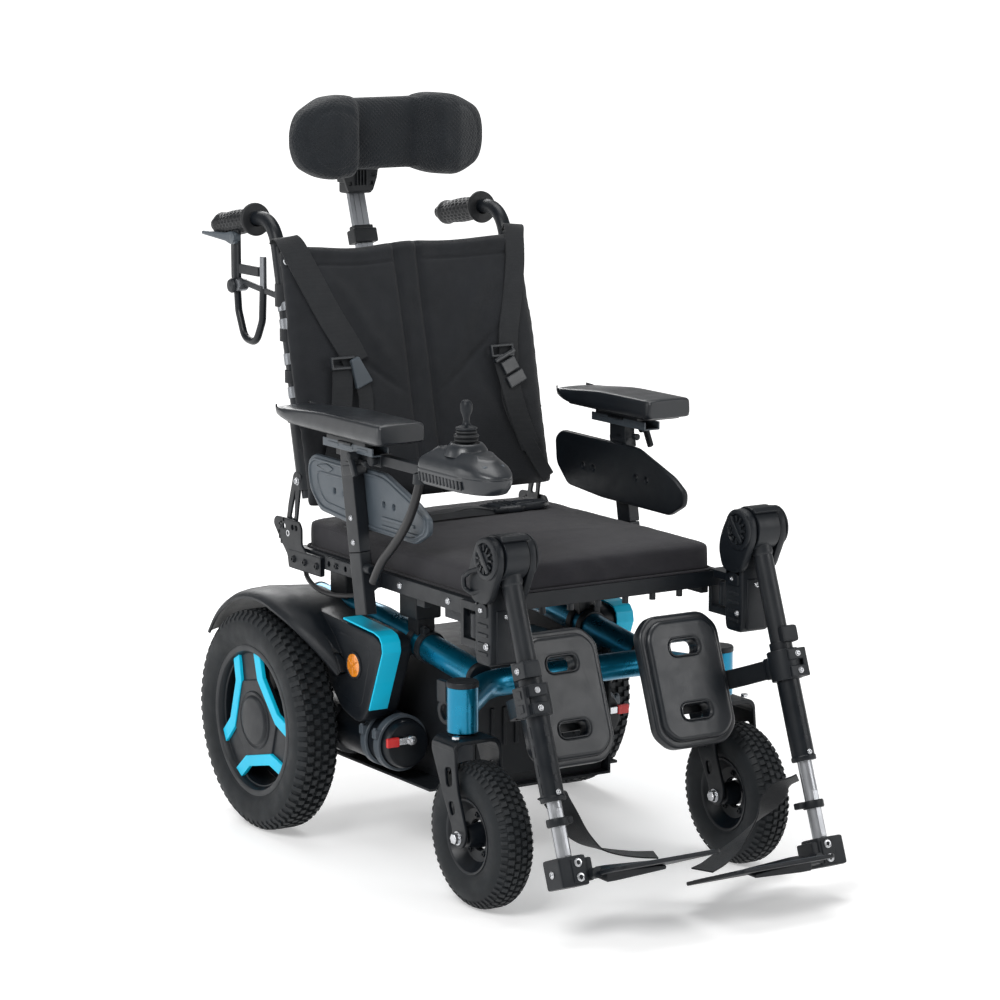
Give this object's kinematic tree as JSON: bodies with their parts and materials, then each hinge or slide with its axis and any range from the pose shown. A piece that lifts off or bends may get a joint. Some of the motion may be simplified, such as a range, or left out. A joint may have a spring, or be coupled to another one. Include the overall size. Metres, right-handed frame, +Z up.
{
  "type": "power wheelchair",
  "caption": "Rear-wheel-drive power wheelchair with reclining back, headrest, sliding armrests, joystick and elevating legrests.",
  "frame": {"origin": "middle of the footprint box on the floor", "axes": "+Z up, -Y forward (the user faces -Y), +X to the user's left; the drive axle is 0.300 m behind the origin"},
  "size_m": [0.6296, 1.1754, 1.1605],
  "materials": {
    "blue_metal": "metallic blue, gloss",
    "black_metal": "black powder coat, satin",
    "steel": "zinc plated",
    "grey_alloy": "satin",
    "black_plastic": "moulded, fine grain",
    "gloss_black": "satin gloss",
    "blue_plastic": "gloss",
    "grey_plastic": "satin grey",
    "amber_lens": "reflector amber",
    "tyre": "rubber",
    "grip_rubber": "diamond pattern",
    "seat_fabric": "woven",
    "back_fabric": "woven nylon",
    "mesh_fabric": "spacer mesh",
    "webbing": "webbing",
    "soft_pu": "moulded polyurethane skin",
    "cable_skin": "cable sheath"
  },
  "bodies": {
    "chassis": {"front_frame": "blue_metal", "side_tubes": "blue_metal", "tube_caps": "black_plastic", "chassis_tub": "black_metal", "battery_case": "black_plastic", "batteries": "grey_plastic", "power_module": "black_plastic", "drive_units": "black_metal", "side_cover_right": "black_plastic", "side_cover_left": "black_plastic", "cover_stripes": "blue_plastic", "reflectors": "amber_lens", "seat_frame": "black_metal", "seat_cushion": "seat_fabric", "hinge_plates": "black_metal", "arm_sockets": "black_metal", "wire_loom": "cable_skin", "lap_belt": "webbing", "tie_down_eyes": "steel"},
    "back": {"back_canes": "black_metal", "push_grips": "grip_rubber", "back_upholstery": "back_fabric", "harness_straps": "webbing"},
    "recline_lever": {"recline_lever": "grey_plastic"},
    "headrest_mast": {"headrest_stem": "grey_alloy"},
    "headrest": {"headrest_pad": "mesh_fabric"},
    "arm_right": {"arm_post_right": "black_metal", "arm_pad_right": "soft_pu", "side_panel_right": "grey_plastic", "joystick_bar": "black_metal", "joystick_pod": "gloss_black", "joystick_lead": "cable_skin"},
    "arm_left": {"arm_post_left": "black_metal", "arm_pad_left": "soft_pu", "side_panel_left": "black_plastic"},
    "joystick_gimbal": {"joystick_boot": "grip_rubber"},
    "joystick_stick": {"joystick_stick": "black_plastic"},
    "joystick_keys": {"joystick_keys": "grey_plastic"},
    "drive_wheel_right": {"drive_tyre_right": "tyre", "drive_rim_right": "grey_plastic"},
    "caster_right": {"caster_fork_right": "black_metal"},
    "caster_wheel_right": {"caster_wheel_right": "tyre"},
    "leg_hanger_right": {"leg_hanger_right": "black_metal"},
    "leg_right": {"leg_tube_right": "black_metal"},
    "calf_right": {"calf_pad_right": "soft_pu"},
    "leg_slider_right": {"leg_slider_right": "grey_alloy", "heel_strap_right": "webbing"},
    "footplate_right": {"footplate_right": "black_plastic"},
    "release_lever_right": {"release_lever_right": "steel"},
    "drive_wheel_left": {"drive_tyre_left": "tyre", "drive_rim_left": "grey_plastic"},
    "caster_left": {"caster_fork_left": "black_metal"},
    "caster_wheel_left": {"caster_wheel_left": "tyre"},
    "leg_hanger_left": {"leg_hanger_left": "black_metal"},
    "leg_left": {"leg_tube_left": "black_metal"},
    "calf_left": {"calf_pad_left": "soft_pu"},
    "leg_slider_left": {"leg_slider_left": "grey_alloy", "heel_strap_left": "webbing"},
    "footplate_left": {"footplate_left": "black_plastic"},
    "release_lever_left": {"release_lever_left": "steel"}
  },
  "joints": [
    {"name": "back_recline", "type": "hinge", "parent": "chassis", "child": "back", "pos_m": [0, 0.3053, 0.475], "axis": [-1, 0, 0], "range_deg": [0, 30]},
    {"name": "recline_lever_pull", "type": "hinge", "parent": "back", "child": "recline_lever", "pos_m": [-0.2285, 0.4783, 0.934], "axis": [-1, 0, 0], "range_deg": [0, 12], "stiffness_Nm_per_rad": 0.6},
    {"name": "headrest_height", "type": "slide", "parent": "back", "child": "headrest_mast", "axis": [0, 0.314, 0.9494], "range_m": [-0.03, 0.06]},
    {"name": "headrest_tilt", "type": "hinge", "parent": "headrest_mast", "child": "headrest", "pos_m": [0, 0.4863, 1.046], "axis": [1, 0, 0], "range_deg": [-15, 20]},
    {"name": "arm_height_right", "type": "slide", "parent": "chassis", "child": "arm_right", "axis": [0, 0.1822, 0.9833], "range_m": [0, 0.05]},
    {"name": "arm_height_left", "type": "slide", "parent": "chassis", "child": "arm_left", "axis": [0, 0.1822, 0.9833], "range_m": [0, 0.05]},
    {"name": "joystick_fore_aft", "type": "hinge", "parent": "arm_right", "child": "joystick_gimbal", "pos_m": [-0.235, -0.2347, 0.686], "axis": [1, 0, 0], "range_deg": [-18, 18], "stiffness_Nm_per_rad": 0.08},
    {"name": "joystick_side", "type": "hinge", "parent": "joystick_gimbal", "child": "joystick_stick", "pos_m": [-0.235, -0.2347, 0.686], "axis": [0, 1, 0], "range_deg": [-18, 18], "stiffness_Nm_per_rad": 0.08},
    {"name": "joystick_key_press", "type": "slide", "parent": "arm_right", "child": "joystick_keys", "axis": [0, 0, -1], "range_m": [0, 0.0012], "stiffness_N_per_m": 400},
    {"name": "drive_spin_right", "type": "hinge", "parent": "chassis", "child": "drive_wheel_right", "pos_m": [-0.278, 0.3003, 0.178], "axis": [1, 0, 0], "continuous": true},
    {"name": "caster_swivel_right", "type": "hinge", "parent": "chassis", "child": "caster_right", "pos_m": [-0.233, -0.2197, 0.29], "axis": [0, 0, 1], "continuous": true},
    {"name": "caster_spin_right", "type": "hinge", "parent": "caster_right", "child": "caster_wheel_right", "pos_m": [-0.233, -0.2727, 0.1106], "axis": [1, 0, 0], "continuous": true},
    {"name": "legrest_swing_right", "type": "hinge", "parent": "chassis", "child": "leg_hanger_right", "pos_m": [-0.225, -0.2617, 0.42], "axis": [0, 0, -1], "range_deg": [0, 80]},
    {"name": "legrest_elevate_right", "type": "hinge", "parent": "leg_hanger_right", "child": "leg_right", "pos_m": [-0.225, -0.3277, 0.536], "axis": [-1, 0, 0], "range_deg": [0, 60]},
    {"name": "calf_swing_right", "type": "hinge", "parent": "leg_right", "child": "calf_right", "pos_m": [-0.225, -0.40124, 0.3393], "axis": [0, -0.3502, -0.9367], "range_deg": [0, 75]},
    {"name": "leg_length_right", "type": "slide", "parent": "leg_right", "child": "leg_slider_right", "axis": [0, -0.3502, -0.9367], "range_m": [-0.012, 0.05]},
    {"name": "footplate_flip_right", "type": "hinge", "parent": "leg_slider_right", "child": "footplate_right", "pos_m": [-0.1946, -0.49265, 0.09483], "axis": [0, 0.9367, -0.3502], "range_deg": [0, 85]},
    {"name": "brake_release_right", "type": "hinge", "parent": "chassis", "child": "release_lever_right", "pos_m": [-0.181, 0.0163, 0.188], "axis": [0, 1, 0], "range_deg": [0, 30]},
    {"name": "drive_spin_left", "type": "hinge", "parent": "chassis", "child": "drive_wheel_left", "pos_m": [0.278, 0.3003, 0.178], "axis": [1, 0, 0], "continuous": true},
    {"name": "caster_swivel_left", "type": "hinge", "parent": "chassis", "child": "caster_left", "pos_m": [0.233, -0.2197, 0.29], "axis": [0, 0, 1], "continuous": true},
    {"name": "caster_spin_left", "type": "hinge", "parent": "caster_left", "child": "caster_wheel_left", "pos_m": [0.233, -0.2727, 0.1106], "axis": [1, 0, 0], "continuous": true},
    {"name": "legrest_swing_left", "type": "hinge", "parent": "chassis", "child": "leg_hanger_left", "pos_m": [0.225, -0.2617, 0.42], "axis": [0, 0, 1], "range_deg": [0, 80]},
    {"name": "legrest_elevate_left", "type": "hinge", "parent": "leg_hanger_left", "child": "leg_left", "pos_m": [0.225, -0.3277, 0.536], "axis": [-1, 0, 0], "range_deg": [0, 60]},
    {"name": "calf_swing_left", "type": "hinge", "parent": "leg_left", "child": "calf_left", "pos_m": [0.225, -0.40124, 0.3393], "axis": [0, 0.3502, 0.9367], "range_deg": [0, 75]},
    {"name": "leg_length_left", "type": "slide", "parent": "leg_left", "child": "leg_slider_left", "axis": [0, -0.3502, -0.9367], "range_m": [-0.045, 0.03]},
    {"name": "footplate_flip_left", "type": "hinge", "parent": "leg_slider_left", "child": "footplate_left", "pos_m": [0.1946, -0.50526, 0.06111], "axis": [0, -0.9367, 0.3502], "range_deg": [0, 85]},
    {"name": "brake_release_left", "type": "hinge", "parent": "chassis", "child": "release_lever_left", "pos_m": [0.181, 0.0163, 0.188], "axis": [0, -1, 0], "range_deg": [0, 30]}
  ]
}
